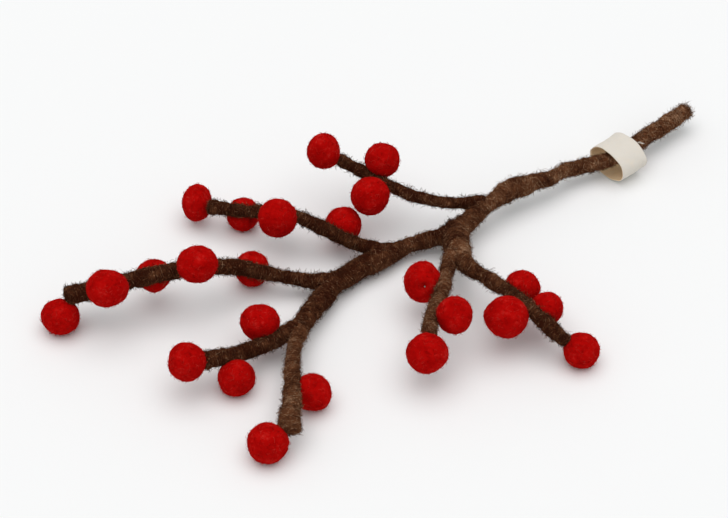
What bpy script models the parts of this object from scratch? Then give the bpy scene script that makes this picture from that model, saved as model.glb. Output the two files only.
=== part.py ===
"""A craft branch with red felt berries: brown wool wound on wire, felted balls pinned to it, a loop of tape.

X runs along the branch towards its cut end, Y across it and Z up. The branch lies on Z = 0.
Sizes and places are written in millimetres and turned into metres when a mesh is made.
"""
import math

import bmesh
import bpy
import numpy as np
from mathutils import Matrix, Vector

MM = 0.001

# Clear space left between two pieces that touch
GAP = 0.3

# How deep a felt ball is pressed onto the wool that carries it, and how far one on the ground is flattened
SEAT = 2.0
GROUND_PRESS = 0.4

# Core wires, as radii, how far the stem's lies back at the cut end, and how far all stop short of a tip
STEM_WIRE = 1.0
TWIG_WIRE = 0.7
PIN_WIRE = 0.4
WIRE_SET_BACK = 0.5
WIRE_SHORT_OF_TIP = 3.5

# How far past a ball's middle its pin reaches, as a share of its diameter, and how far a tip stands out
PIN_REACH = 0.12
PIN_PROUD = 0.3

# The loop of tape that lies on the ground round the stem: half its length and height as an oval before it
# leans, how far it leans over sideways in degrees, the middle of its near end, and the tape's own sizes
LOOP_HALF_LONG = 14.6
LOOP_HALF_HIGH = 8.4
LOOP_LEAN = -16.6
LOOP_PLACE = (123.4, -2.0)
TAPE_WIDTH = 16.0
TAPE_THICKNESS = 0.6

# The stem's axis, from the cut end to the last fork
STEM_ROUTE = [
    (186.5, 2, 12), (161, 0, 11.5), (140.5, -2.5, 12.1), (122.5, -1.5, 10.6), (105.5, 4, 10.8),
    (86.5, 4.5, 13), (65, 8, 14.8), (50, 7, 15), (33, 4, 13.5), (22.5, 2, 11.5), (8.5, 9, 9),
    (-6.5, 12.5, 8), (-26.5, 14, 7.8), (-47, 13, 8.2), (-68, 4.5, 9.5), (-87, -5, 11.5),
]


class Twig:
    """One wound twig: what it grows from, where on it, and the rest of its axis."""

    def __init__(self, carrier, root_at, points):
        self.carrier = carrier
        self.root_at = root_at
        self.points = points


# The twigs, each rooted at a distance along its carrier
TWIGS = {
    "upper": Twig("stem", 142, [(35, 13, 17.5), (23, 18.5, 21), (7.5, 33, 27), (-1.5, 52, 31), (-8, 67, 34)]),
    "left": Twig("stem", 203, [(-19, 18.5, 10.5), (-25.5, 26, 12.5), (-32, 33, 16), (-39, 46, 19.5),
                               (-42, 53, 20), (-60.5, 77.5, 17.5), (-74.5, 93.5, 16)]),
    "long": Twig("stem", 236, [(-53.5, 16.5, 9), (-61.5, 22, 9.8), (-73, 32, 12.5), (-82.5, 38.5, 16.5),
                               (-95.5, 45, 22), (-110, 51, 25), (-122, 55.5, 26), (-139.5, 62.5, 25),
                               (-150.5, 69, 22), (-165.5, 77.5, 18.5), (-172, 81, 17)]),
    "fork_left": Twig("stem", 279, [(-110, -6, 14), (-142.5, 0, 18.5)]),
    "fork_near": Twig("stem", 279, [(-101, -20.5, 14), (-117.5, -43, 16), (-134, -61.5, 14.5)]),
    "right": Twig("stem", 167, [(10.5, -13, 17), (5.5, -24.5, 20), (4.5, -38.5, 23), (6, -49.5, 24),
                                (9, -71.5, 23), (12, -87.5, 18.3), (16, -96.5, 12.5)]),
    "inner": Twig("right", 19, [(-6.5, -25.5, 22), (-18.5, -37, 24), (-34, -49.5, 26.5), (-46, -60.5, 28)]),
}

# The wool on each wire, as (distance from its root, radius): it is thicker where a twig is bound in
WOOL = {
    "stem": [(0, 4.2), (15, 4.5), (22, 4.2), (30, 4.5), (37, 4.2), (67, 4.0), (80, 3.9), (95, 3.6),
             (105, 4.4), (115, 4.8), (122, 5.5), (128, 5.5), (135, 4.4), (150, 4.6), (160, 5.0), (167, 5.6),
             (180, 4.1), (195, 3.9), (203, 4.4), (216, 5.9), (230, 5.4), (255, 5.2), (270, 4.9), (283, 4.7)],
    "upper": [(0, 4.0), (8, 3.6), (15, 2.9), (25, 2.9), (40, 3.1), (75, 3.2), (88, 3.7)],
    "left": [(0, 4.4), (10, 4.0), (20, 3.5), (32, 3.6), (45, 4.0), (52, 3.2), (80, 3.3), (98, 3.5), (106, 4.7)],
    "long": [(0, 4.6), (12, 4.3), (20, 4.0), (25, 3.4), (30, 3.6), (35, 3.4), (48, 3.8), (60, 4.3), (65, 4.0),
             (90, 4.1), (110, 4.5), (140, 4.8)],
    "fork_left": [(0, 4.7), (18, 4.2), (34, 4.0), (50, 4.0), (60, 4.6)],
    "fork_near": [(0, 4.5), (18, 3.6), (25, 3.5), (34, 3.8), (47, 4.0), (60, 4.5), (74, 5.2)],
    "right": [(0, 5.6), (12, 6.8), (22, 6.6), (30, 5.0), (38, 4.3), (43, 3.9), (48, 3.5), (57, 3.8), (66, 3.5),
              (88, 3.5), (99, 4.2), (105, 3.4)],
    "inner": [(0, 5.0), (12, 4.4), (20, 3.5), (36, 3.4), (56, 3.8), (76, 3.9)],
}

# How long the rounded ends of the wool are, on the stem and on a twig
STEM_CAP = 3.0
TWIG_CAP = 2.6


class Berry:
    """One felt ball: how far along its twig it is pinned, how far round it, and how it leans to the tip.

    turn is in degrees from the top of the twig, to the right as seen from the root. lean is in degrees
    from square to the twig towards its tip. A berry on the ground has its turn worked out instead, and
    side says on which side of the twig it lies: 1 is the right, -1 the left.
    """

    def __init__(self, twig, along, turn, lean, diameter, side=0):
        self.twig = twig
        self.along = along
        self.turn = turn
        self.lean = lean
        self.diameter = diameter
        self.side = side


BERRIES = {
    "upper_berry_1": Berry("upper", 87, 318, 60, 18.5),
    "upper_berry_2": Berry("upper", 66, 57, 0, 18.6),
    "upper_berry_3": Berry("upper", 60.5, 264, 0, 20.4),
    "left_berry_1": Berry("left", 30.5, 102, 0, 19.4),
    "left_berry_2": Berry("left", 63, 300, 0, 20.5),
    "left_berry_3": Berry("left", 88.5, None, 0, 18.0, side=1),
    "left_berry_4": Berry("left", 105, 114, 55, 18.0),
    "long_berry_1": Berry("long", 46, 129, 0, 18.3),
    "long_berry_2": Berry("long", 81, 321, 0, 20.2),
    "long_berry_3": Berry("long", 100.5, 135, 0, 17.7),
    "long_berry_4": Berry("long", 124, 309, 0, 20.3),
    "long_berry_5": Berry("long", 147, None, 35, 19.1, side=-1),
    "fork_left_berry_1": Berry("fork_left", 20, 65, 0, 19.3),
    "fork_left_berry_2": Berry("fork_left", 44.5, None, 0, 19.0, side=-1),
    "fork_left_berry_3": Berry("fork_left", 60, 339, 75, 19.1),
    "fork_near_berry_1": Berry("fork_near", 46.5, 237, 0, 19.1),
    "fork_near_berry_2": Berry("fork_near", 75, None, 35, 20.4, side=1),
    "inner_berry_1": Berry("inner", 32, 101, 0, 20.1),
    "inner_berry_2": Berry("inner", 62, 285, 0, 18.7),
    "inner_berry_3": Berry("inner", 74, 183, 50, 20.9),
    "right_berry_1": Berry("right", 78, 96, 0, 21.8),
    "right_berry_2": Berry("right", 68, 249, 0, 18.3),
    "right_berry_3": Berry("right", 87, 252, 0, 16.8),
    "right_berry_4": Berry("right", 109, None, 80, 18.5, side=-1),
}

# The berry whose wire comes out again, and the way that its tip points
SHOWING_PIN = "inner_berry_1"
SHOWING_WAY = (-0.44, -0.73, 0.52)

# Facets: sides round each tube, the distance between its rings, and a ball's segments and rings
WOOL_SIDES = 12
TWIG_SIDES = 10
WIRE_SIDES = 6
LOOP_SIDES = 36
WOOL_STEP = 7.0
WIRE_STEP = 9.0
BALL_SEGMENTS = 14
BALL_RINGS = 9
CAP_ANGLES = (25, 55, 90)

# Colour, roughness and metallic value of each material
FINISHES = {
    "red_felt": ((0.42, 0.004, 0.004), 0.95, 0.0),
    "brown_wool": ((0.062, 0.022, 0.012), 0.95, 0.0),
    "steel_wire": ((0.55, 0.55, 0.56), 0.35, 1.0),
    "cotton_tape": ((0.75, 0.70, 0.62), 0.9, 0.0),
}


def smooth_path(points):
    """The natural cubic spline through the points, read every millimetre of its length."""
    knots = np.array(points, float)
    count = len(knots)
    steps = np.linalg.norm(np.diff(knots, axis=0), axis=1)
    places = np.concatenate([[0.0], np.cumsum(steps)])
    matrix = np.eye(count)
    right = np.zeros((count, 3))
    for i in range(1, count - 1):
        matrix[i, i - 1:i + 2] = steps[i - 1], 2 * (steps[i - 1] + steps[i]), steps[i]
        right[i] = 6 * ((knots[i + 1] - knots[i]) / steps[i] - (knots[i] - knots[i - 1]) / steps[i - 1])
    bend = np.linalg.solve(matrix, right)
    fine = np.linspace(0.0, places[-1], int(places[-1]) * 4)
    i = np.clip(np.searchsorted(places, fine, side="right") - 1, 0, count - 2)
    step = steps[i][:, None]
    before = (fine - places[i])[:, None]
    after = step - before
    curve = (bend[i] * after ** 3 + bend[i + 1] * before ** 3) / (6 * step)
    curve += (knots[i] / step - bend[i] * step / 6) * after
    curve += (knots[i + 1] / step - bend[i + 1] * step / 6) * before
    lengths = np.concatenate([[0.0], np.cumsum(np.linalg.norm(np.diff(curve, axis=0), axis=1))])
    even = np.linspace(0.0, lengths[-1], int(lengths[-1]) + 1)
    return np.stack([np.interp(even, lengths, curve[:, axis]) for axis in range(3)], axis=1)


class Route:
    """A smooth axis with its length, its points and its directions at any distance from its root."""

    def __init__(self, points):
        self.curve = smooth_path(points)
        steps = np.linalg.norm(np.diff(self.curve, axis=0), axis=1)
        self.places = np.concatenate([[0.0], np.cumsum(steps)])
        self.length = self.places[-1]
        self.slopes = np.gradient(self.curve, self.places, axis=0)

    def point(self, distance):
        return Vector([np.interp(distance, self.places, self.curve[:, axis]) for axis in range(3)])

    def directions(self, distance):
        """The ways along, up from and to the right of the axis, looking from the root to the tip."""
        along = Vector([np.interp(distance, self.places, self.slopes[:, axis]) for axis in range(3)])
        along.normalize()
        up = (Vector((0, 0, 1)) - along * along.z).normalized()
        return along, up, along.cross(up)


def make_routes():
    """The routes of the stem and of each twig, whose first point lies on its carrier's axis."""
    routes = {"stem": Route(STEM_ROUTE)}
    for name, twig in TWIGS.items():
        root = tuple(routes[twig.carrier].point(twig.root_at))
        routes[name] = Route([root] + twig.points)
    return routes


def rounded(distance, length, cap):
    """How much of its radius a tube keeps near its ends, which are quarter ellipses cap millimetres long."""
    near = min(distance, length - distance)
    if near >= cap:
        return 1.0
    return math.sqrt(max(0.0, 1 - (1 - near / cap) ** 2))


def wool_radius(name, distance):
    places, radii = zip(*WOOL[name])
    return float(np.interp(distance, places, radii))


def berry_place(berry, routes):
    """The pin's start on the twig's axis and the ball's middle, with the turn of a resting ball worked out.

    The ball's middle stands off the axis by the wool's radius and its own, less the seat. The one that
    leans to the tip stands off by less wool. A ball on the ground has the turn that brings its
    middle to its radius above the ground, less the press.
    """
    route = routes[berry.twig]
    along, up, right = route.directions(berry.along)
    start = route.point(berry.along)
    radius = berry.diameter / 2
    lean = math.radians(berry.lean)
    wool = wool_radius(berry.twig, berry.along)
    reach = radius - SEAT + wool * math.cos(lean)
    if berry.side:
        drop = (radius - GROUND_PRESS - start.z) / reach - math.sin(lean) * along.z
        turn = berry.side * math.acos(max(-1.0, min(1.0, drop / (math.cos(lean) * up.z))))
    else:
        turn = math.radians(berry.turn)
    way = (up * math.cos(turn) + right * math.sin(turn)) * math.cos(lean) + along * math.sin(lean)
    return start, start + way * reach


def link(name, mesh, material=None):
    obj = bpy.data.objects.new(name, mesh)
    bpy.context.scene.collection.objects.link(obj)
    if material:
        mesh.materials.append(bpy.data.materials[material])
    return obj


def tube(name, route, radii_at, sides, step, start, end, cap=0.0, back=0.0, on=0.0, material=None):
    """A closed tube along a route: rings of equal sides square to the axis, with flat or rounded ends.

    Its first ring is moved back along the axis and its last one on, so that a cutter keeps the rings of
    the tube that it clears and still reaches past its ends.
    """
    count = max(3, round((end - start) / step) + 1)
    distances = list(np.linspace(start, end, count))
    if cap:
        inner = [d for d in distances if start + cap < d < end - cap]
        shoulder = [cap * (1 - math.cos(math.radians(a))) for a in CAP_ANGLES]
        distances = [start + s for s in shoulder] + inner + [end - s for s in reversed(shoulder)]
    mesh = bmesh.new()
    rings = []
    for distance in distances:
        along, up, right = route.directions(distance)
        middle = route.point(distance)
        if distance == distances[0]:
            middle -= along * back
        elif distance == distances[-1]:
            middle += along * on
        keep = rounded(distance - start, end - start, cap) if cap else 1.0
        radius = radii_at(distance) * keep
        ring = []
        for k in range(sides):
            angle = 2 * math.pi * k / sides
            spot = middle + up * (radius * math.cos(angle)) + right * (radius * math.sin(angle))
            ring.append(mesh.verts.new(spot * MM))
        rings.append(ring)
    for first, second in zip(rings, rings[1:]):
        for k in range(sides):
            mesh.faces.new((first[k], second[k], second[(k + 1) % sides], first[(k + 1) % sides]))
    mesh.faces.new(rings[0])
    mesh.faces.new(reversed(rings[-1]))
    bmesh.ops.recalc_face_normals(mesh, faces=mesh.faces)
    data = bpy.data.meshes.new(name)
    mesh.to_mesh(data)
    mesh.free()
    return link(name, data, material)


def rod(name, start, end, radius):
    """A straight wire between two points."""
    mesh = bmesh.new()
    length = (end - start).length
    turn = (end - start).to_track_quat("Z", "Y").to_matrix().to_4x4()
    place = Matrix.Translation((start + end) / 2 * MM) @ turn
    bmesh.ops.create_cone(mesh, cap_ends=True, segments=WIRE_SIDES, radius1=radius * MM, radius2=radius * MM,
                          depth=length * MM, matrix=place)
    data = bpy.data.meshes.new(name)
    mesh.to_mesh(data)
    mesh.free()
    return link(name, data)


def combine(obj, other, operation):
    """Cut the other solid from this one, or join it on, and remove it."""
    boolean = obj.modifiers.new(operation.title(), "BOOLEAN")
    boolean.operation = operation
    boolean.solver = "EXACT"
    boolean.object = other
    bpy.context.view_layer.update()
    view = bpy.context.evaluated_depsgraph_get()
    mesh = bpy.data.meshes.new_from_object(obj.evaluated_get(view))
    obj.modifiers.clear()
    old = obj.data
    obj.data = mesh
    bpy.data.meshes.remove(old)
    mesh.name = obj.name
    bpy.data.objects.remove(other)


def keep_body(obj):
    """Drop the loose scraps that a cut leaves and keep the largest body."""
    mesh = bmesh.new()
    mesh.from_mesh(obj.data)
    left = set(mesh.verts)
    bodies = []
    while left:
        body = set()
        front = [left.pop()]
        while front:
            vert = front.pop()
            body.add(vert)
            for edge in vert.link_edges:
                other = edge.other_vert(vert)
                if other in left:
                    left.remove(other)
                    front.append(other)
        bodies.append(body)
    bodies.sort(key=len)
    for body in bodies[:-1]:
        bmesh.ops.delete(mesh, geom=list(body), context="VERTS")
    mesh.to_mesh(obj.data)
    mesh.free()


def shade_round(obj, degrees=50):
    obj.data.shade_smooth()
    obj.data.set_sharp_from_angle(angle=math.radians(degrees))


def wool_tube(name, routes, owner, grow=0.0, material=None):
    """The outside of the stem's or a twig's wool, made fatter by grow when it cuts a neighbour."""
    route = routes[owner]
    sides = WOOL_SIDES if owner == "stem" else TWIG_SIDES
    cap = STEM_CAP if owner == "stem" else TWIG_CAP
    clear = grow / math.cos(math.pi / sides)

    def radius(distance):
        return wool_radius(owner, distance) + clear

    return tube(name, route, radius, sides, WOOL_STEP, 0.0, route.length, cap, grow, grow, material)


def wire_tube(name, routes, owner, grow=0.0, material=None):
    """The core wire of the stem or a twig, which stops short of the wool's tip.

    Its bore, made by the same wire grown fatter, runs out through the stem's cut end.
    """
    route = routes[owner]
    radius = STEM_WIRE if owner == "stem" else TWIG_WIRE
    radius += grow / math.cos(math.pi / WIRE_SIDES)
    start = WIRE_SET_BACK if owner == "stem" else 0.0
    back = start + grow if grow else 0.0
    end = route.length - WIRE_SHORT_OF_TIP
    return tube(name, route, lambda distance: radius, WIRE_SIDES, WIRE_STEP, start, end, 0.0, back, grow, material)


def pins(name, routes, berries, grow=0.0):
    """The pins of one berry, as straight wires: one from the twig, and one more where the tip shows."""
    berry = BERRIES[name]
    route = routes[berry.twig]
    middle = berries[name][1]
    inside = route.point(min(berry.along, route.length - WIRE_SHORT_OF_TIP - TWIG_WIRE))
    way = (middle - inside).normalized()
    clear = grow / math.cos(math.pi / WIRE_SIDES)
    end = middle + way * (berry.diameter * PIN_REACH + grow)
    rods = [rod(name + "_pin", inside, end, PIN_WIRE + clear)]
    if name == SHOWING_PIN:
        out = middle + Vector(SHOWING_WAY).normalized() * (berry.diameter / 2 + PIN_PROUD + grow)
        rods.append(rod(name + "_tip", middle, out, PIN_WIRE + clear))
    return rods


def make_wires(routes, berries):
    """Each twig's wire with its pins joined on, cut short where it meets the wires made before it."""
    stem = wire_tube("stem_wire", routes, "stem", material="steel_wire")
    shade_round(stem)
    for index, owner in enumerate(TWIGS):
        wire = wire_tube(owner + "_twig_wire", routes, owner, material="steel_wire")
        for name, berry in BERRIES.items():
            if berry.twig == owner:
                for pin in pins(name, routes, berries):
                    combine(wire, pin, "UNION")
        for before in ["stem"] + list(TWIGS)[:index]:
            if meets(owner, before):
                combine(wire, wire_tube("cutter", routes, before, GAP), "DIFFERENCE")
        keep_body(wire)
        shade_round(wire)


def meets(owner, other):
    """Whether two of the wound pieces run into each other: one carries the other, or they share a root."""
    if other == "stem":
        return TWIGS[owner].carrier == "stem"
    if TWIGS[owner].carrier == other:
        return True
    near = abs(TWIGS[owner].root_at - TWIGS[other].root_at) < 1
    return near and TWIGS[owner].carrier == TWIGS[other].carrier


def make_wool(routes, berries):
    """The wool of the stem and the twigs, seated on what carries it and bored for the wires inside."""
    owners = ["stem"] + list(TWIGS)
    for index, owner in enumerate(owners):
        label = "stem_wool" if owner == "stem" else owner + "_twig_wool"
        wool = wool_tube(label, routes, owner, material="brown_wool")
        for before in owners[:index]:
            if meets(owner, before):
                combine(wool, wool_tube("cutter", routes, before, GAP), "DIFFERENCE")
        combine(wool, wire_tube("cutter", routes, owner, GAP), "DIFFERENCE")
        for after in owners[index + 1:]:
            if meets(after, owner):
                combine(wool, wire_tube("cutter", routes, after, GAP), "DIFFERENCE")
        for name, berry in BERRIES.items():
            if berry.twig == owner:
                for pin in pins(name, routes, berries, GAP):
                    combine(wool, pin, "DIFFERENCE")
        keep_body(wool)
        shade_round(wool)


def make_berries(routes, berries):
    """The felt balls: each is grooved by its twig's wool, bored for its pin and flat where it rests."""
    for name, berry in BERRIES.items():
        start, middle = berries[name]
        mesh = bmesh.new()
        bmesh.ops.create_uvsphere(mesh, u_segments=BALL_SEGMENTS, v_segments=BALL_RINGS,
                                  radius=berry.diameter / 2 * MM)
        turn = (middle - start).to_track_quat("X", "Z").to_matrix().to_4x4()
        bmesh.ops.transform(mesh, matrix=Matrix.Translation(middle * MM) @ turn, verts=mesh.verts)
        if berry.side:
            every = mesh.verts[:] + mesh.edges[:] + mesh.faces[:]
            bmesh.ops.bisect_plane(mesh, geom=every, plane_co=(0, 0, 0), plane_no=(0, 0, -1), clear_outer=True)
            edges = [edge for edge in mesh.edges if edge.is_boundary]
            bmesh.ops.contextual_create(mesh, geom=edges)
        data = bpy.data.meshes.new(name)
        mesh.to_mesh(data)
        mesh.free()
        ball = link(name, data, "red_felt")
        combine(ball, wool_tube("cutter", routes, berry.twig, GAP), "DIFFERENCE")
        for pin in pins(name, routes, berries, GAP):
            combine(ball, pin, "DIFFERENCE")
        keep_body(ball)
        shade_round(ball)


def make_loop():
    """The loop of tape: an oval tube that lies on the ground round the stem, leaning, flat where it rests."""
    lean = math.radians(LOOP_LEAN)
    height = math.hypot(LOOP_HALF_LONG * math.sin(lean), LOOP_HALF_HIGH * math.cos(lean)) - GROUND_PRESS
    start, end = LOOP_PLACE[0], LOOP_PLACE[0] + TAPE_WIDTH
    mesh = bmesh.new()
    rings = []
    for inside, x in ((0.0, start), (0.0, end), (TAPE_THICKNESS, end), (TAPE_THICKNESS, start)):
        ring = []
        for k in range(LOOP_SIDES):
            angle = 2 * math.pi * k / LOOP_SIDES
            wide = (LOOP_HALF_LONG - inside) * math.cos(angle)
            high = (LOOP_HALF_HIGH - inside) * math.sin(angle)
            y = LOOP_PLACE[1] + wide * math.cos(lean) - high * math.sin(lean)
            z = height + wide * math.sin(lean) + high * math.cos(lean)
            ring.append(mesh.verts.new(Vector((x, y, max(z, inside))) * MM))
        rings.append(ring)
    for first, second in zip(rings, rings[1:] + rings[:1]):
        for k in range(LOOP_SIDES):
            after = (k + 1) % LOOP_SIDES
            mesh.faces.new((first[k], second[k], second[after], first[after]))
    bmesh.ops.recalc_face_normals(mesh, faces=mesh.faces)
    data = bpy.data.meshes.new("label_loop")
    mesh.to_mesh(data)
    mesh.free()
    shade_round(link("label_loop", data, "cotton_tape"))


def make_finishes():
    for name, (colour, roughness, metallic) in FINISHES.items():
        material = bpy.data.materials.new(name)
        material.use_nodes = True
        shader = material.node_tree.nodes["Principled BSDF"]
        shader.inputs["Base Color"].default_value = (*colour, 1)
        shader.inputs["Roughness"].default_value = roughness
        shader.inputs["Metallic"].default_value = metallic


def main():
    for obj in list(bpy.data.objects):
        bpy.data.objects.remove(obj)
    make_finishes()
    routes = make_routes()
    berries = {name: berry_place(berry, routes) for name, berry in BERRIES.items()}
    make_wires(routes, berries)
    make_wool(routes, berries)
    make_berries(routes, berries)
    make_loop()


if __name__ == "__main__":
    main()
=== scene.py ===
# %% [markdown]
# # A felt winterberry branch
#
# The real thing is a craft branch. Brown wool is wound and felted round bent wire, and two dozen red felted
# balls are pinned to it as berries. A loop of tape lies round the stem near its cut end.
#
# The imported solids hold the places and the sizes. This lesson gives them their looks. Every ball and every
# length of wool becomes a surface worked out with numpy, with loose fibres of its own, and it stands for
# its solid. The core wires stay as they are and get a better metal.

import math

import bpy
import numpy as np
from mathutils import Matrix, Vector


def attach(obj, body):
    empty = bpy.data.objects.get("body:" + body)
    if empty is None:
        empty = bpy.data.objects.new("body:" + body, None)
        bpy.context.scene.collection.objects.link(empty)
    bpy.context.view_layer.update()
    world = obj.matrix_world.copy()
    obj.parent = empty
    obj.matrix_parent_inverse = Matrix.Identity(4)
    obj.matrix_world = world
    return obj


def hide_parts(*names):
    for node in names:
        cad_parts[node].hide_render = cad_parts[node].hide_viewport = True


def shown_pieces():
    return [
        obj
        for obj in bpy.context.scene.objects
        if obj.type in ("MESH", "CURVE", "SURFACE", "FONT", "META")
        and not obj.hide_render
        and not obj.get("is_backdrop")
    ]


MM = 0.001
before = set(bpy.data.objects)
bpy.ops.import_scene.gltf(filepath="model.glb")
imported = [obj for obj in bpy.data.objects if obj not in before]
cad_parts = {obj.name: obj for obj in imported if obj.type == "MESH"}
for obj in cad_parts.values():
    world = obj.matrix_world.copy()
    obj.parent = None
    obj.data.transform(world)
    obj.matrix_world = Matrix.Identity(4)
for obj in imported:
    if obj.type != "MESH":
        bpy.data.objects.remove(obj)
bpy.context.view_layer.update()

# %% [markdown]
# ## The camera
#
# The branch was photographed from 44 degrees above the table with a long lens, so the far end is hardly
# smaller than the near one. The camera could be placed by eye, but here its place follows from three
# plain facts: the point on the table that it looks at, the way that it looks, and how far off it stands.

# %% The camera
LOOKED_AT = Vector((-22, 25, 0)) * MM
HEADING = math.radians(37)
ELEVATION = math.radians(44)
DISTANCE = 1350 * MM
FOCAL_LENGTH = 125.95
SENSOR_WIDTH = 36.0

look = Vector((
    math.sin(HEADING) * math.cos(ELEVATION),
    math.cos(HEADING) * math.cos(ELEVATION),
    -math.sin(ELEVATION),
))
picture_right = np.array([math.cos(HEADING), -math.sin(HEADING), 0.0])
picture_up = np.cross(picture_right, np.array(look))
picture_away = np.array([math.sin(HEADING), math.cos(HEADING), 0.0])

camera = bpy.data.objects.new("camera", bpy.data.cameras.new("camera"))
camera.data.lens = FOCAL_LENGTH
camera.data.sensor_width = SENSOR_WIDTH
camera.location = LOOKED_AT - look * DISTANCE
camera.rotation_mode = "QUATERNION"
camera.rotation_quaternion = look.to_track_quat("-Z", "Y")
bpy.context.scene.collection.objects.link(camera)
bpy.context.scene.camera = camera
print("camera in mm", [round(x / MM) for x in camera.location])

# %% [markdown]
# ## The table and the light
#
# The branch lies on white paper under a wide soft lamp, a little to the camera's side of overhead. Its
# shadows are grey pools that fade within a few centimetres. One sun lamp as wide as such a lamp looks
# from the table gives that everywhere alike, and a pale room fills the rest.

# %% The table and the light
PAPER = (0.90, 0.90, 0.90)
ROOM_COLOUR = (0.93, 1.0, 1.0)
ROOM_STRENGTH = 0.55
LAMP_COLOUR = (1.06, 1.0, 1.0)
LAMP_STRENGTH = 1.62
LAMP_WIDTH = math.radians(76)
LAMP_TO_CAMERA = 0.04


def plain_material(name, colour, values):
    """A material whose one shader has a plain colour and plain values, ready for nodes to be added."""
    material = bpy.data.materials.new(name)
    material.use_nodes = True
    shader = material.node_tree.nodes["Principled BSDF"]
    for socket, value in {"Base Color": (*colour, 1.0), **values}.items():
        shader.inputs[socket].default_value = value
    return material, shader


def make_table(size=8.0):
    corners = [(-size, -size, 0), (size, -size, 0), (size, size, 0), (-size, size, 0)]
    mesh = bpy.data.meshes.new("table")
    mesh.from_pydata(corners, [], [(0, 1, 2, 3)])
    table = bpy.data.objects.new("table", mesh)
    bpy.context.scene.collection.objects.link(table)
    material, _ = plain_material("white_paper", PAPER, {"Roughness": 0.9, "Specular IOR Level": 0.0})
    mesh.materials.append(material)
    table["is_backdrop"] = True


def make_light():
    world = bpy.data.worlds.new("pale_room")
    world.use_nodes = True
    room = world.node_tree.nodes["Background"]
    room.inputs["Color"].default_value = (*ROOM_COLOUR, 1.0)
    room.inputs["Strength"].default_value = ROOM_STRENGTH
    bpy.context.scene.world = world
    lamp = bpy.data.objects.new("soft_lamp", bpy.data.lights.new("soft_lamp", "SUN"))
    lamp.data.energy = LAMP_STRENGTH
    lamp.data.color = LAMP_COLOUR
    lamp.data.angle = LAMP_WIDTH
    shine = Vector(picture_away * LAMP_TO_CAMERA) + Vector((0, 0, -1))
    lamp.rotation_mode = "QUATERNION"
    lamp.rotation_quaternion = shine.to_track_quat("-Z", "Y")
    bpy.context.scene.collection.objects.link(lamp)


make_table()
make_light()
bpy.context.scene.view_settings.view_transform = "Standard"
print("lamp", LAMP_STRENGTH, "room", ROOM_STRENGTH)

# %% [markdown]
# ## Soft lumps
#
# Felt and wound wool are never smooth. Their lumps come in many sizes at once, which a noise texture
# could push out, but then a fibre laid on the surface wouldn't know about them. A sum of sine waves
# is a formula that any point can ask, so the skin and the fibres on it agree.


# %% Soft lumps
def unit(vectors):
    """Each vector divided by its own length."""
    return vectors / np.linalg.norm(vectors, axis=-1, keepdims=True)


def waves(points, length, seed, count=28):
    """Lumps about length wide: the sum of count sine waves, each along a random direction with a random
    start, divided so that the whole swings by about one."""
    draw = np.random.default_rng(seed)
    ways = unit(draw.normal(size=(count, 3)))
    lengths = length * draw.uniform(0.75, 1.4, count)
    starts = draw.uniform(0, 2 * np.pi, count)
    angles = points @ (ways / lengths[:, None]).T * (2 * np.pi) + starts
    return np.sin(angles).sum(axis=-1) * math.sqrt(2 / count)


def soft_step(value, low, high):
    """Goes from 0 at low to 1 at high along 3t squared less 2t cubed."""
    t = np.clip((value - low) / (high - low), 0, 1)
    return t * t * (3 - 2 * t)


print("lumps at three points", waves(np.eye(3), 2.0, 1).round(2))

# %% [markdown]
# ## Skins and strands
#
# All the wool here is made of two kinds of shape. A skin is a grid of two parameters, closed by a pole
# at each end: a ball is one, and so is a wound stem. A strand is a fibre, a thin three-sided tube that runs
# to a point at both ends. Both are held as plain arrays, so that a thousand fibres cost one formula, and
# both are closed, so the finished piece has no stray faces.
#
# Each shape also carries two things for its material to read: a tone, from dark to light, and its grain, the
# place that each point had before the wool was bent to shape. Its place in a flat map is for baking.


# %% Skins and strands
def skin(rings, poles, tone, grain=None, folds=1, area=(0.0, 0.0, 1.0, 1.0)):
    """A closed surface through rings of points, an array of rings by sides by three.

    Ring i and side j make the face between rings i and i + 1 and sides j and j + 1. A fan of triangles joins
    each end ring to its pole. On the flat map the rings run upwards in as many columns as folds."""
    count, sides = rings.shape[:2]
    points = np.concatenate([poles[:1], rings.reshape(-1, 3), poles[1:]])
    i, j = np.meshgrid(np.arange(count - 1), np.arange(sides), indexing="ij")
    i, j = i.ravel(), j.ravel()
    near, far = j, (j + 1) % sides
    here, above = i * sides, (i + 1) * sides
    quads = 1 + np.stack([here + near, here + far, above + far, above + near], 1)
    k = np.arange(sides)
    after = (k + 1) % sides
    last = 1 + (count - 1) * sides
    start_fan = np.stack([np.zeros(sides, int), 1 + after, 1 + k], 1)
    end_fan = np.stack([np.full(sides, len(points) - 1), last + k, last + after], 1)
    triangles = np.concatenate([start_fan, end_fan])

    rows = math.ceil((count + 1) / folds)

    def on_map(row, side):
        """Map places, from each corner's row and side, where the first pole is row 0."""
        column = np.minimum(row.min(axis=1, keepdims=True) // rows, folds - 1)
        return np.stack([(column + side / sides) / folds, (row - column * rows) / rows], axis=-1)

    quad_map = on_map(np.stack([i + 1, i + 1, i + 2, i + 2], 1), np.stack([j, j + 1, j + 1, j], 1))
    fan_rows = np.repeat([[0, 1, 1], [count + 1, count, count]], sides, axis=0)
    fan_sides = np.concatenate([np.stack([k + 0.5, k + 1, k], 1), np.stack([k + 0.5, k, k + 1], 1)])
    return shape(points, quads, triangles, quad_map, on_map(fan_rows, fan_sides), tone, grain, area)


def shape(points, quads, triangles, quad_map, triangle_map, tone, grain, area):
    """The arrays of one shape, with its flat map moved into the given area of the whole map."""
    low = np.array(area[:2])
    size = np.array(area[2:]) - low
    return {
        "points": points,
        "quads": quads,
        "triangles": triangles,
        "quad_map": low + quad_map * size,
        "triangle_map": low + triangle_map * size,
        "tone": np.broadcast_to(tone, len(points)).astype(np.float32),
        "grain": points if grain is None else grain,
    }


# A fibre's middle line lies at least this high over the table, and its ends are sunk this deep in the skin
LOWEST_FIBRE = 0.15
SUNK = 0.15


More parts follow.
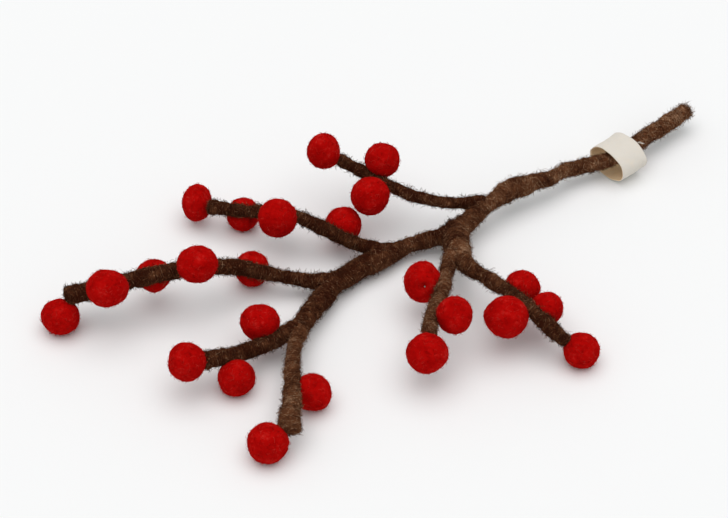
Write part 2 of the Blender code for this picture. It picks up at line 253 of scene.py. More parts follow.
def strands(lines, facing, radius, tone, area=(0.0, 0.0, 1.0, 1.0)):
    """Fibres along lines, an array of fibres by points by three.

    Three corners stand round each inner point at the fibre's radius, a third of a circle apart from the side
    that faces the same way as facing, and the two end points are sharp tips."""
    count, length = lines.shape[:2]
    lines = np.maximum(lines, (-np.inf, -np.inf, LOWEST_FIBRE))
    along = unit(np.gradient(lines, axis=1))
    side = unit(np.cross(along, facing))
    top = np.cross(side, along)
    inner = slice(1, length - 1)
    turns = (2 * np.pi / 3 * np.arange(3))[:, None]
    ring = top[:, inner, None] * np.cos(turns) + side[:, inner, None] * np.sin(turns)
    ring = lines[:, inner, None] + ring * radius[:, None, None, None]
    points = np.concatenate([lines[:, :1], ring.reshape(count, -1, 3), lines[:, -1:]], axis=1)

    rings = length - 2
    each = 2 + 3 * rings
    first = each * np.arange(count)[:, None, None]
    i, k = [index.ravel() for index in np.meshgrid(np.arange(rings - 1), np.arange(3), indexing="ij")]
    after = (k + 1) % 3
    walls = 1 + np.stack([i * 3 + k, i * 3 + after, i * 3 + 3 + after, i * 3 + 3 + k], 1)
    root = [[0, 2, 1], [0, 3, 2], [0, 1, 3]]
    last = each - 4
    tip = [[each - 1, last, last + 1], [each - 1, last + 1, last + 2], [each - 1, last + 2, last]]

    columns = math.ceil(math.sqrt(count))
    cell = np.stack([np.arange(count) % columns, np.arange(count) // columns], 1)[:, None, None]

    def on_map(row, side):
        """Map places in each fibre's own cell, from each corner's row and side."""
        place = np.stack([np.array(row) / (rings + 1), np.array(side) / 3], axis=-1)
        return ((cell + 0.1 + 0.8 * place) / columns).reshape(-1, place.shape[1], 2)

    wall_map = on_map(np.stack([i + 1, i + 1, i + 2, i + 2], 1), np.stack([k, k + 1, k + 1, k], 1))
    fan_rows = [[0, 1, 1]] * 3 + [[rings + 1, rings, rings]] * 3
    fan_sides = [[x + 0.5, x + 1, x] for x in range(3)] + [[x + 0.5, x, x + 1] for x in range(3)]
    fan_map = on_map(fan_rows, fan_sides)
    quads = (first + walls).reshape(-1, 4)
    triangles = (first + np.array(root + tip)).reshape(-1, 3)
    tone = np.repeat(tone, each)
    return shape(points.reshape(-1, 3), quads, triangles, wall_map, fan_map, tone, None, area)


def bowed(height, t):
    """How far a fibre laid on a skin lies above it: sunk at both ends, and height above it half way."""
    return (height + SUNK) * np.sin(np.pi * t) ** 0.7 - SUNK


def make_piece(name, shapes, material):
    """One smooth mesh object from shapes whose points are in millimetres."""
    starts = np.cumsum([0] + [len(s["points"]) for s in shapes])
    points = np.concatenate([s["points"] for s in shapes]) * MM
    quads = np.concatenate([s["quads"] + start for s, start in zip(shapes, starts)])
    triangles = np.concatenate([s["triangles"] + start for s, start in zip(shapes, starts)])
    mesh = bpy.data.meshes.new(name)
    mesh.vertices.add(len(points))
    mesh.vertices.foreach_set("co", points.ravel())
    mesh.loops.add(quads.size + triangles.size)
    mesh.loops.foreach_set("vertex_index", np.concatenate([quads.ravel(), triangles.ravel()]))
    mesh.polygons.add(len(quads) + len(triangles))
    first_corners = np.append(np.arange(len(quads)) * 4, quads.size + np.arange(len(triangles)) * 3)
    mesh.polygons.foreach_set("loop_start", first_corners)
    mesh.polygons.foreach_set("use_smooth", np.ones(len(first_corners), bool))
    mesh.update(calc_edges=True)
    flat = [s["quad_map"].reshape(-1, 2) for s in shapes] + [s["triangle_map"].reshape(-1, 2) for s in shapes]
    mesh.uv_layers.new(name="OFBake").data.foreach_set("uv", np.concatenate(flat).ravel())
    tone = mesh.attributes.new("tone", "FLOAT", "POINT")
    tone.data.foreach_set("value", np.concatenate([s["tone"] for s in shapes]))
    grain = mesh.attributes.new("grain", "FLOAT_VECTOR", "POINT")
    grain.data.foreach_set("vector", np.concatenate([s["grain"] for s in shapes]).astype(np.float32).ravel())
    mesh.materials.append(material)
    piece = bpy.data.objects.new(name, mesh)
    bpy.context.scene.collection.objects.link(piece)
    return piece


example = strands(np.arange(15.0).reshape(1, 5, 3) ** 2, np.ones((1, 5, 3)), np.ones(1), np.zeros(1))
print("a fibre of five points has", len(example["triangles"]) + 2 * len(example["quads"]), "triangles")

# %% [markdown]
# ## Where the wires run
#
# Stem and twigs are bent wire, so each follows one smooth line. The lines are the same as the solids
# have: a natural cubic spline through listed points. A twig starts on its carrier's axis, where its
# wire is bound in, and its wool swells there into a collar and again at the tip.

# %% Where the wires run, in millimetres
STEM_ROUTE = [
    (186.5, 2, 12), (161, 0, 11.5), (140.5, -2.5, 12.1), (122.5, -1.5, 10.6), (105.5, 4, 10.8),
    (86.5, 4.5, 13), (65, 8, 14.8), (50, 7, 15), (33, 4, 13.5), (22.5, 2, 11.5), (8.5, 9, 9),
    (-6.5, 12.5, 8), (-26.5, 14, 7.8), (-47, 13, 8.2), (-68, 4.5, 9.5), (-87, -5, 11.5),
]

# Each twig's carrier, the distance along it of the twig's root, and the rest of the twig's points
TWIGS = {
    "upper": ("stem", 142, [(35, 13, 17.5), (23, 18.5, 21), (7.5, 33, 27), (-1.5, 52, 31), (-8, 67, 34)]),
    "left": ("stem", 203, [(-19, 18.5, 10.5), (-25.5, 26, 12.5), (-32, 33, 16), (-39, 46, 19.5),
                           (-42, 53, 20), (-60.5, 77.5, 17.5), (-74.5, 93.5, 16)]),
    "long": ("stem", 236, [(-53.5, 16.5, 9), (-61.5, 22, 9.8), (-73, 32, 12.5), (-82.5, 38.5, 16.5),
                           (-95.5, 45, 22), (-110, 51, 25), (-122, 55.5, 26), (-139.5, 62.5, 25),
                           (-150.5, 69, 22), (-165.5, 77.5, 18.5), (-172, 81, 17)]),
    "fork_left": ("stem", 279, [(-110, -6, 14), (-142.5, 0, 18.5)]),
    "fork_near": ("stem", 279, [(-101, -20.5, 14), (-117.5, -43, 16), (-134, -61.5, 14.5)]),
    "right": ("stem", 167, [(10.5, -13, 17), (5.5, -24.5, 20), (4.5, -38.5, 23), (6, -49.5, 24),
                            (9, -71.5, 23), (12, -87.5, 18.3), (16, -96.5, 12.5)]),
    "inner": ("right", 19, [(-6.5, -25.5, 22), (-18.5, -37, 24), (-34, -49.5, 26.5), (-46, -60.5, 28)]),
}

# The wool on each wire, as (distance from its root, radius)
WOOL = {
    "stem": [(0, 4.2), (15, 4.5), (22, 4.2), (30, 4.5), (37, 4.2), (67, 4.0), (80, 3.9), (95, 3.6),
             (105, 4.4), (115, 4.8), (122, 5.5), (128, 5.5), (135, 4.4), (150, 4.6), (160, 5.0), (167, 5.6),
             (180, 4.1), (195, 3.9), (203, 4.4), (216, 5.9), (230, 5.4), (255, 5.2), (270, 4.9), (283, 4.7)],
    "upper": [(0, 4.0), (8, 3.6), (15, 2.9), (25, 2.9), (40, 3.1), (75, 3.2), (88, 3.7)],
    "left": [(0, 4.4), (10, 4.0), (20, 3.5), (32, 3.6), (45, 4.0), (52, 3.2), (80, 3.3), (98, 3.5),
             (106, 4.7)],
    "long": [(0, 4.6), (12, 4.3), (20, 4.0), (25, 3.4), (30, 3.6), (35, 3.4), (48, 3.8), (60, 4.3), (65, 4.0),
             (90, 4.1), (110, 4.5), (140, 4.8)],
    "fork_left": [(0, 4.7), (18, 4.2), (34, 4.0), (50, 4.0), (60, 4.6)],
    "fork_near": [(0, 4.5), (18, 3.6), (25, 3.5), (34, 3.8), (47, 4.0), (60, 4.5), (74, 5.2)],
    "right": [(0, 5.6), (12, 6.8), (22, 6.6), (30, 5.0), (38, 4.3), (43, 3.9), (48, 3.5), (57, 3.8),
              (66, 3.5), (88, 3.5), (99, 4.2), (105, 3.4)],
    "inner": [(0, 5.0), (12, 4.4), (20, 3.5), (36, 3.4), (56, 3.8), (76, 3.9)],
}


def smooth_path(knots):
    """The natural cubic spline through the knots, over their chord length, read four times a millimetre."""
    knots = np.array(knots, float)
    steps = np.linalg.norm(np.diff(knots, axis=0), axis=1)
    places = np.concatenate([[0.0], np.cumsum(steps)])
    slopes = np.diff(knots, axis=0) / steps[:, None]
    matrix = np.eye(len(knots))
    inner = np.arange(1, len(knots) - 1)
    matrix[inner, inner - 1] = steps[:-1]
    matrix[inner, inner] = 2 * (steps[:-1] + steps[1:])
    matrix[inner, inner + 1] = steps[1:]
    bend = np.linalg.solve(matrix, 6 * np.pad(np.diff(slopes, axis=0), ((1, 1), (0, 0))))
    fine = np.linspace(0.0, places[-1], int(places[-1]) * 4)
    i = np.clip(np.searchsorted(places, fine, side="right") - 1, 0, len(knots) - 2)
    step = steps[i][:, None]
    before = (fine - places[i])[:, None]
    after = step - before
    curve = (bend[i] * after ** 3 + bend[i + 1] * before ** 3) / (6 * step)
    curve += (knots[i] / step - bend[i] * step / 6) * after
    return curve + (knots[i + 1] / step - bend[i + 1] * step / 6) * before


def at(places, values, distance):
    """Rows of values read at any distances, along straight lines between places."""
    columns = [np.interp(distance, places, values[:, axis]) for axis in range(values.shape[1])]
    return np.stack(columns, axis=-1)


class Route:
    """One wire's line: its points, its length, and the ways along, up from and to the right of it."""

    def __init__(self, knots, wool):
        self.curve = smooth_path(knots)
        steps = np.linalg.norm(np.diff(self.curve, axis=0), axis=1)
        self.places = np.concatenate([[0.0], np.cumsum(steps)])
        self.length = self.places[-1]
        self.slopes = np.gradient(self.curve, self.places, axis=0)
        self.wool = np.array(wool, float)

    def point(self, distance):
        return at(self.places, self.curve, distance)

    def ways(self, distance):
        """Along is the slope, up is straight up less its part along, and right is along times up."""
        along = unit(at(self.places, self.slopes, distance))
        up = unit(np.array([0.0, 0.0, 1.0]) - along * along[..., 2:])
        return along, up, np.cross(along, up)

    def radius_at(self, distance):
        """The wool's radius: between two stated ones it goes from one to the other along a soft step."""
        places, radii = self.wool.T
        step = np.clip(np.searchsorted(places, distance, side="right") - 1, 0, len(places) - 2)
        share = soft_step(distance, places[step], places[step + 1])
        return radii[step] + (radii[step + 1] - radii[step]) * share


routes = {"stem": Route(STEM_ROUTE, WOOL["stem"])}
for name, (carrier, root_at, knots) in TWIGS.items():
    routes[name] = Route([routes[carrier].point(root_at)] + knots, WOOL[name])
print("lengths in mm", {name: round(route.length, 1) for name, route in routes.items()})

# %% [markdown]
# ## Wound and felted wool
#
# The wool goes on as a soft rope, wound round and round, and a felting needle then mats it. So its
# skin has three kinds of relief: lumps where more wool lies, shallow ridges side by side where the turns
# still show, and a fine roughness. The ridges are clear on the inner twig and the near fork and nearly
# gone on the stem, which was worked more.
#
# The skin is a tube carried along the wire's line, with rings less than half a millimetre apart so
# that the turns are real shape. Over it lie fibres that follow the winding, and shorter ones stand out.

# %% Wound and felted wool
RING_STEP = 0.42
SIDES = {"stem": 34}
TWIG_SIDES = 28
CAP = {"stem": 3.0}
TWIG_CAP = 2.6

# How far apart the turns lie, and how clear they are, on each length of wool
TURNS = {
    "stem": (2.4, 0.5), "upper": (1.6, 0.7), "left": (1.5, 0.9), "long": (1.6, 0.8),
    "fork_left": (1.6, 0.8), "fork_near": (1.5, 1.0), "right": (1.5, 1.0), "inner": (1.5, 1.0),
}
TURN_DEPTH = 0.32

# Bunches of wool that stand out to one side: where along the wire, the degrees they face, how high they are,
# and how far they reach along and, in degrees, round
BUNCHES = {
    "stem": [(169, 48, 1.9, 6.5, 38), (129, 225, 0.7, 5.0, 40)],
    "upper": [(6, 30, 0.8, 5.0, 60)],
    "fork_near": [(75, 255, 1.3, 3.0, 40)],
}


def rounded(distance, length, cap):
    """How much of its radius a tube keeps near its ends, which are quarter ellipses cap millimetres long."""
    near = np.clip(np.minimum(distance, length - distance) / cap, 0, 1)
    return np.sqrt(1 - (1 - near) ** 2)


def wool_way(name, distance, turn):
    """The way straight out from the wire at a turn."""
    up, right = routes[name].ways(distance)[1:]
    return up * np.cos(turn)[..., None] + right * np.sin(turn)[..., None]


def wool_surface(name, distance, turn, lift=0.0):
    """The wool's surface at distances along its wire and turns round it, raised by lift.

    It stands off the wire by the wool's radius, plus lumps 11, 4 and 1.5 mm wide, bunches and ridges.
    A ridge is the size of a half sine, raised to a power that rounds its top, and it moves on by a turn each
    time that the wool has gone once round. A bunch falls off along and round the wire like a bell."""
    route = routes[name]
    seed = 100 + 10 * list(routes).index(name)
    way = wool_way(name, distance, turn)
    radius = route.radius_at(distance)
    keep = rounded(distance, route.length, CAP.get(name, TWIG_CAP))
    base = route.point(distance) + way * radius[..., None]
    lumps = 0.26 * waves(base, 11, seed) + 0.16 * waves(base, 4, seed + 1) + 0.10 * waves(base, 1.5, seed + 2)
    apart, clear = TURNS[name]
    wander = 1.1 * waves(base, 10, seed + 3)
    ridge = np.abs(np.sin(np.pi * distance / apart + turn / 2 + wander / 2)) ** 0.8 - 0.65
    depth = TURN_DEPTH * clear * (0.55 + 0.45 * np.tanh(1.5 * waves(base, 13, seed + 4)))
    for middle, facing, rise, reach, spread in BUNCHES.get(name, []):
        aside = np.angle(np.exp(1j * (turn - math.radians(facing))))
        off = ((distance - middle) / reach) ** 2 + (aside / math.radians(spread)) ** 2
        lumps = lumps + rise * np.exp(-off)
    height = (radius + lumps * np.minimum(1, radius / 4) + depth * ridge) * keep + lift
    return route.point(distance) + way * height[..., None]


def ring_distances(length, cap, step):
    """Distances for the rings: evenly spaced along the tube, and closer by a cosine on its rounded ends."""
    shoulder = cap * (1 - np.cos(np.linspace(0.12, np.pi / 2, 9)))
    middle = np.linspace(cap, length - cap, int((length - 2 * cap) / step))
    return np.concatenate([shoulder[:-1], middle, (length - shoulder[:-1])[::-1]])


def wool_skin(name, area):
    """The closed skin of one length of wool, with a tone that drifts along it."""
    route = routes[name]
    cap = CAP.get(name, TWIG_CAP)
    sides = SIDES.get(name, TWIG_SIDES)
    distance = ring_distances(route.length, cap, RING_STEP)[:, None]
    turn = np.linspace(0, 2 * np.pi, sides, endpoint=False)[None, :]
    distance, turn = np.broadcast_arrays(distance, turn)
    rings = wool_surface(name, distance, turn)
    poles = route.point(np.array([0.0, route.length]))
    tone = wool_tone(name, rings, distance)
    tone = np.concatenate([tone[:1, 0], tone.ravel(), tone[-1:, 0]])
    radius = route.radius_at(distance)
    straight = np.stack([radius * np.cos(turn), radius * np.sin(turn), distance], -1).reshape(-1, 3)
    grain = np.concatenate([[(0, 0, 0)], straight, [(0, 0, route.length)]])
    return skin(rings, poles, tone, grain, folds=max(1, round(math.sqrt(route.length / 24))), area=area)


def wool_tone(name, points, distance):
    """How light the wool is: each length its own, with slow drifts. The stem is lighter from its cut end to
    the middle and most so at the end, and the right twig near its root."""
    base = {"stem": 0.37, "inner": 0.52, "fork_near": 0.56, "right": 0.38, "upper": 0.34}.get(name, 0.33)
    tone = base + 0.06 * waves(points, 16, 7) + 0.06 * waves(points, 5, 8)
    if name == "stem":
        tone = tone + 0.20 * soft_step(-distance, -190, -140) + 0.06 * soft_step(-distance, -30, -5)
    if name == "right":
        tone = tone + 0.30 * np.exp(-((distance - 27) / 9) ** 2)
    return np.clip(tone, 0, 1)


print("wool at the cut end", wool_surface("stem", np.array([5.0]), np.array([0.0])).round(1))

# %% [markdown]
# ## The fibres of the wool
#
# Two kinds of fibre show on wound wool. Long ones follow the turns, half sunk and lighter or darker than
# their neighbours, and make its fine slanting lines. Short ones have worked loose and stand off as fuzz,
# which blurs every edge. A bump couldn't change an outline, so all of them are shapes.


# %% The fibres of the wool
WOOL_RADII = (0.06, 0.12)


def wound_fibres(name, count, seed, area):
    """Fibres laid round the wool. Each starts anywhere and runs its length nearly square to the wire, with a
    slant of its own, and rises a tenth of a millimetre or two between its ends. One in twelve rises more."""
    route = routes[name]
    draw = np.random.default_rng(seed)
    t = np.linspace(0, 1, 6)[None, :]
    start = draw.uniform(0, route.length, (count, 1))
    length = draw.uniform(3, 10, (count, 1))
    slant = np.where(draw.random((count, 1)) < 0.7, draw.normal(0.10, 0.16, (count, 1)),
                     draw.uniform(-1.3, 1.3, (count, 1)))
    turn = draw.uniform(0, 2 * np.pi, (count, 1))
    turn = turn + length * np.cos(slant) * t / route.radius_at(start)
    wobble = 0.25 * np.sin(2 * np.pi * (t * draw.uniform(0.5, 1.5, (count, 1)) + draw.random((count, 1))))
    distance = np.clip(start + length * np.sin(slant) * t + wobble, 0.5, route.length - 0.5)
    rise = draw.uniform(0.06, 0.22, (count, 1)) + 0.5 * (draw.random((count, 1)) < 0.08)
    lines = wool_surface(name, distance, turn, bowed(rise, t))
    tone = wool_tone(name, lines[:, 3], distance[:, 3]) + draw.normal(0.04, 0.24, count)
    pale = draw.random(count) < 0.01
    tone = np.where(pale, 1.0, np.clip(tone, 0, 0.85))
    return strands(lines, wool_way(name, distance, turn), draw.uniform(*WOOL_RADII, count), tone, area)


# Along this stretch of the stem the loop of tape keeps fibres down to this height
UNDER_TAPE = (43.0, 68.0)
HEIGHT_UNDER_TAPE = 0.9


def loose_hairs(name, count, seed, area, low, high, size, facing=None, onwards=0.0):
    """Short fibres that stand off the wool between two distances. Each leaves the skin, leans over by its own
    amount in its own direction, and curls back. facing, in degrees, keeps them to one side of the wire, and
    onwards bends them towards its tip, or back if less than nothing."""
    route = routes[name]
    draw = np.random.default_rng(seed)
    t = np.linspace(0, 1, 4)[None, :]
    start = draw.uniform(low, high, (count, 1))
    length = draw.uniform(*size, (count, 1))
    side = length * draw.normal(0, 0.6, (count, 1))
    on = length * draw.normal(0, 0.5, (count, 1))
    out = length * draw.uniform(0.25, 0.75, (count, 1))
    back = out * draw.uniform(0.2, 1.4, (count, 1))
    turn = draw.uniform(0, 2 * np.pi, (count, 1))
    if facing is not None:
        turn = math.radians(facing) + draw.normal(0, 0.4, (count, 1))
    turn = turn + side * t / route.radius_at(start)
    distance = np.clip(start + on * t, 0.05, route.length - 0.05)
    lift = 1.6 * out * t - back * t * t - SUNK
    if name == "stem":
        under = (distance > UNDER_TAPE[0]) & (distance < UNDER_TAPE[1])
        lift = np.where(under, np.minimum(lift, HEIGHT_UNDER_TAPE), lift)
    lines = wool_surface(name, distance, turn, lift)
    along = route.ways(distance)[0]
    lines = lines + along * (onwards * length * t * draw.uniform(0.2, 1.0, (count, 1)))[..., None]
    tone = np.clip(wool_tone(name, lines[:, 0], start[:, 0]) + draw.normal(0.06, 0.24, count), 0, 0.9)
    return strands(lines, wool_way(name, distance, turn), draw.uniform(*WOOL_RADII, count), tone, area)


# Fibres laid round, and short and long ones that stand off, for each square millimetre of wool
WOUND_EACH = 0.16
SHORT_EACH = 1.0
LONG_EACH = 0.03
SHORT_SIZE = (1.2, 3.6)
LONG_SIZE = (2.4, 5.0)

# The corners of the flat map that each kind of shape takes
SKIN_AREA = (0.0, 0.0, 1.0, 0.66)
WOUND_AREA = (0.0, 0.68, 0.32, 1.0)
SHORT_AREA = (0.34, 0.68, 0.66, 1.0)
LONG_AREA = (0.68, 0.68, 0.83, 0.83)
TUFT_AREAS = [(0.68, 0.85, 0.83, 1.0), (0.85, 0.68, 1.0, 0.83), (0.85, 0.85, 1.0, 1.0)]
PALE_AREA = (0.97, 0.835, 1.0, 0.848)

# Tufts, at most three a length: from and to where, the degrees they face, how many hairs, size, onwards
TUFTS = {
    "stem": [(0.0, 2.2, None, 300, (1.5, 4.2), -0.75), (158, 176, 50, 200, (1.6, 3.6), 0.0),
             (119, 131, 235, 70, (1.2, 2.8), 0.0)],
    "upper": [(85, 87.3, None, 60, (1.0, 2.5), 0.6)],
    "left": [(103, 105.2, None, 110, (1.2, 3.0), 0.6), (50, 57, 5, 40, (1.5, 3.2), 0.0)],
    "long": [(146.5, 148.7, None, 150, (1.2, 3.2), 0.6)],
    "fork_left": [(58, 60.2, None, 90, (1.2, 3.0), 0.6)],
    "fork_near": [(75, 77.5, None, 130, (1.2, 3.2), 0.5), (63, 70, 85, 70, (1.5, 3.4), 0.0),
                  (60, 74, 265, 90, (1.5, 3.2), 0.0)],
    "right": [(34, 43, 110, 60, (1.5, 3.6), 0.0), (12, 24, None, 160, (1.0, 2.4), 0.0),
              (107, 109, None, 60, (1.0, 2.5), 0.6)],
    "inner": [(73, 75.5, None, 80, (1.0, 2.5), 0.6)],
}

# Pale hairs caught on the stem: from where, turn in degrees, how far each runs along and round, radius
PALE = [
    (111, 348, -6.0, -115, 0.10), (77, 338, 2.4, -60, 0.11), (76, 330, -2.6, -40, 0.09),
    (24, 330, 1.6, 25, 0.15), (142, 350, 0.9, 14, 0.20),
]


def pale_hairs():
    """Each pale hair bows over the wool: it starts and ends in it and rises to half a millimetre between."""
    start, turn, on, swing, radius = np.array(PALE).T
    t = np.linspace(0, 1, 9)[None, :]
    distance = start[:, None] + on[:, None] * t
    angle = np.radians(turn[:, None] + swing[:, None] * t ** 1.3)
    lift = 0.75 * np.sin(np.pi * t) ** 0.5 - 0.2
    lines = wool_surface("stem", distance, angle, lift)
    return strands(lines, wool_way("stem", distance, angle), radius, np.ones(len(radius)), PALE_AREA)


def wool_shapes(name):
    """The skin and fibres of one length of wool, with fibres by its surface: its length times its girth."""
    route = routes[name]
    seed = 1000 + 50 * list(routes).index(name)
    girth = 2 * np.pi * route.radius_at(np.linspace(0, route.length, 50)).mean()
    surface = route.length * girth
    shapes = [
        wool_skin(name, SKIN_AREA),
        wound_fibres(name, int(WOUND_EACH * surface), seed, WOUND_AREA),
        loose_hairs(name, int(SHORT_EACH * surface), seed + 1, SHORT_AREA, 0.0, route.length, SHORT_SIZE),
        loose_hairs(name, int(LONG_EACH * surface), seed + 2, LONG_AREA, 0.0, route.length, LONG_SIZE),
    ]
    for index, (low, high, facing, count, size, onwards) in enumerate(TUFTS[name]):
        shapes.append(loose_hairs(name, count, seed + 3 + index, TUFT_AREAS[index], low, high, size,
                                  facing, onwards))
    if name == "stem":
        shapes.append(pale_hairs())
    return shapes


print("corners of fibres on the inner twig", sum(len(s["points"]) for s in wool_shapes("inner")[1:]))

# %% [markdown]
# ## Felt balls
#
# A felted ball is wool rolled wet until it shrinks to a firm ball. It is never quite round, it has shallow
# dents, and its skin is a mat of fibres that run every way. A ball here is a grid of two angles about the
# line of its pin: the radius swells with the lumps, the whole is a little wider or taller as each real one
# is, and what would lie below the table is flattened onto it.
#
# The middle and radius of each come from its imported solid. All points of a ball lie on a sphere, apart from
# those where it was cut to take the twig, so a least squares fit gives both, without a table of places.

# %% Felt balls
BALL_SIDES = 60
BALL_RINGS = 38
MATTED = 200
LOOSE = 330
FELT_RADII = (0.05, 0.09)

# How much wider than tall some of the balls look, as a ratio
WIDER = {
    "upper_berry_1": 0.93, "left_berry_4": 0.80, "long_berry_1": 0.94, "long_berry_2": 1.09,
    "long_berry_3": 1.09, "long_berry_4": 1.12, "long_berry_5": 1.08, "fork_left_berry_1": 1.08,
    "fork_left_berry_3": 0.94, "inner_berry_1": 0.91, "inner_berry_2": 0.96, "inner_berry_3": 1.03,
    "right_berry_1": 1.05, "right_berry_3": 0.96,
}

# The ball whose pin shows, the way that its tip points, and the size of the dent round it
DENTED = "inner_berry_1"
DENT_WAY = unit(np.array([-0.44, -0.73, 0.52]))
DENT_WIDTH = 0.17
DENT_DEPTH = 2.3


def ball_of(name):
    """The middle and radius of a packed ball, in millimetres.

    For a point p of a sphere round c with radius r, 2 p.c + (r squared - c squared) = p squared. That is
    solved for all its corners at once, four times, each time without those well inside the last sphere."""
    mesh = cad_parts[name].data
    points = np.zeros(len(mesh.vertices) * 3)
    mesh.vertices.foreach_get("co", points)
    points = points.reshape(-1, 3) / MM
    for _ in range(4):
        system = np.column_stack([2 * points, np.ones(len(points))])
        answer = np.linalg.lstsq(system, (points ** 2).sum(axis=1), rcond=None)[0]
        middle = answer[:3]
        radius = math.sqrt(answer[3] + middle @ middle)
        points = points[np.linalg.norm(points - middle, axis=1) > radius - 0.12]
    return middle, radius


def pin_way(name, middle):
    """The way from the twig to the ball's middle, from the nearest point of the twig's line."""
    curve = routes[name.split("_berry_")[0]].curve
    return unit(middle - curve[np.argmin(np.linalg.norm(curve - middle, axis=1))])


def felt_surface(name, middle, radius, ways, lift=0.0):
    """The ball's skin along unit ways from its middle, raised by lift.

    Its radius swells by lumps 12, 4 and 1.8 mm wide. The result is stretched across the picture by the root
    of how much wider than tall it looks, and shrunk up it by the same. Last, a height z becomes half of z
    plus the root of z squared and a little, which hardly moves it above the table and keeps it from going
    under."""
    seed = 3000 + 10 * sorted(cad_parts).index(name)
    spot = ways * radius
    size = radius + 0.16 * waves(spot, 12, seed) + 0.05 * waves(spot, 4, seed + 1)
    size = size + 0.03 * waves(spot, 1.8, seed + 2) + lift
    if name == DENTED:
        away = np.arccos(np.clip(ways @ DENT_WAY, -1, 1))
        size = size - DENT_DEPTH * np.exp(-(away / DENT_WIDTH) ** 2)
    wide = math.sqrt(WIDER.get(name, 1.0))
    offset = ways * size[..., None]
    offset = offset + (wide - 1) * (offset @ picture_right)[..., None] * picture_right
    offset = offset + (1 / wide - 1) * (offset @ picture_up)[..., None] * picture_up
    points = middle + offset
    height = points[..., 2]
    points[..., 2] = (height + np.sqrt(height ** 2 + 0.04)) / 2
    return points


def crossways(way):
    """Two ways square to each way and to each other."""
    helper = np.where(np.abs(way[..., 2:]) < 0.8, np.array([0.0, 0.0, 1.0]), np.array([1.0, 0.0, 0.0]))
    first = unit(np.cross(helper, way))
    return first, np.cross(way, first)


def ball_skin(name, middle, radius, area):
    """Rings of points from the pole at the twig to the one opposite: way = -pin cos b + sin b (first cos a +
    second sin a), for b from 0 to half a turn and a once round."""
    pin = pin_way(name, middle)
    first, second = crossways(pin)
    b = np.linspace(0, np.pi, BALL_RINGS + 2)[1:-1, None, None]
    a = np.linspace(0, 2 * np.pi, BALL_SIDES, endpoint=False)[None, :, None]
    ways = -pin * np.cos(b) + (first * np.cos(a) + second * np.sin(a)) * np.sin(b)
    rings = felt_surface(name, middle, radius, ways)
    poles = felt_surface(name, middle, radius, np.stack([-pin, pin]))
    tone = felt_tone(np.concatenate([poles[:1], rings.reshape(-1, 3), poles[1:]]))
    return skin(rings, poles, tone, area=area)


def felt_tone(points):
    return np.clip(0.44 + 0.05 * waves(points, 7, 21) + 0.04 * waves(points, 2.5, 22), 0, 1)


def felt_fibres(name, middle, radius, count, seed, length, rise, curl, loose, area):
    """Fibres on a ball. Each starts anywhere on the sphere, runs its length in a random direction and turns
    as it goes by its curl. A matted one sinks at both ends. A loose one leaves the skin and keeps rising."""
    draw = np.random.default_rng(seed)
    t = np.linspace(0, 1, 5)
    start = unit(draw.normal(size=(count, 3)))
    first, second = crossways(start)
    heading = draw.uniform(0, 2 * np.pi, (count, 1)) + draw.normal(0, curl, (count, 1)) * (t - 0.5)
    run = draw.uniform(*length, (count, 1)) / radius * np.diff(t, prepend=0.0)
    x = np.cumsum(run * np.cos(heading), axis=1)[..., None]
    y = np.cumsum(run * np.sin(heading), axis=1)[..., None]
    ways = unit(start[:, None] + first[:, None] * x + second[:, None] * y)
    height = draw.uniform(*rise, (count, 1))
    lift = height * (1.6 * t - 0.6 * t * t) - SUNK if loose else bowed(height, t)
    lines = felt_surface(name, middle, radius, ways, lift)
    tone = np.clip(felt_tone(lines[:, 2]) + draw.normal(0.10, 0.20, count), 0, 1)
    return strands(lines, ways, draw.uniform(*FELT_RADII, count), tone, area)


def felt_shapes(name):
    """A ball's skin, with matted fibres and loose ones on it."""
    middle, radius = ball_of(name)
    seed = 5000 + 10 * sorted(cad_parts).index(name)
    return [
        ball_skin(name, middle, radius, SKIN_AREA),
        felt_fibres(name, middle, radius, MATTED, seed, (2.0, 6.0), (0.03, 0.14), 1.6, False, WOUND_AREA),
        felt_fibres(name, middle, radius, LOOSE, seed + 1, (0.8, 2.8), (0.15, 1.25), 1.2, True, SHORT_AREA),
    ]


berries = sorted(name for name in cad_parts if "_berry_" in name)
print("balls", len(berries), "the dented one in mm", ball_of(DENTED))

# %% [markdown]
# ## The finish of felt and wool
#
# Wool has no gloss: light goes in among the fibres and comes out coloured, with a faint sheen at the edge.
# Its colour isn't flat either. Each fibre differs, and between them lie dark gaps. The tone carried by each
# shape gives the first, and two layers of ridged noise, whose coordinates are bent by a coarser one, draw
# the mat of finer fibres that no shape is spent on. The same mat drives the bump.


# %% The finish of felt and wool
def add(tree, kind, **values):
    """A new node. A value named after an input sets it, and any other sets the node's own property."""
    node = tree.nodes.new(kind)
    for name, value in values.items():
        plain = name.replace("_", " ").title()
        if plain in node.inputs:
            node.inputs[plain].default_value = value
        else:
            setattr(node, name, value)
    return node


def carried(tree):
    """The tone and the grain that each point carries."""
    tone = add(tree, "ShaderNodeAttribute", attribute_name="tone")
    grain = add(tree, "ShaderNodeAttribute", attribute_name="grain")
    return tone.outputs["Fac"], grain.outputs["Vector"]


def stretched(tree, where, stretch):
    """A place with each coordinate multiplied."""
    mapping = add(tree, "ShaderNodeMapping", scale=stretch)
    tree.links.new(where, mapping.inputs["Vector"])
    return mapping.outputs["Vector"]


def noise(tree, where, output="Fac", **values):
    """A noise texture read at a place."""
    texture = add(tree, "ShaderNodeTexNoise", **values)
    tree.links.new(where, texture.inputs["Vector"])
    return texture.outputs[output]


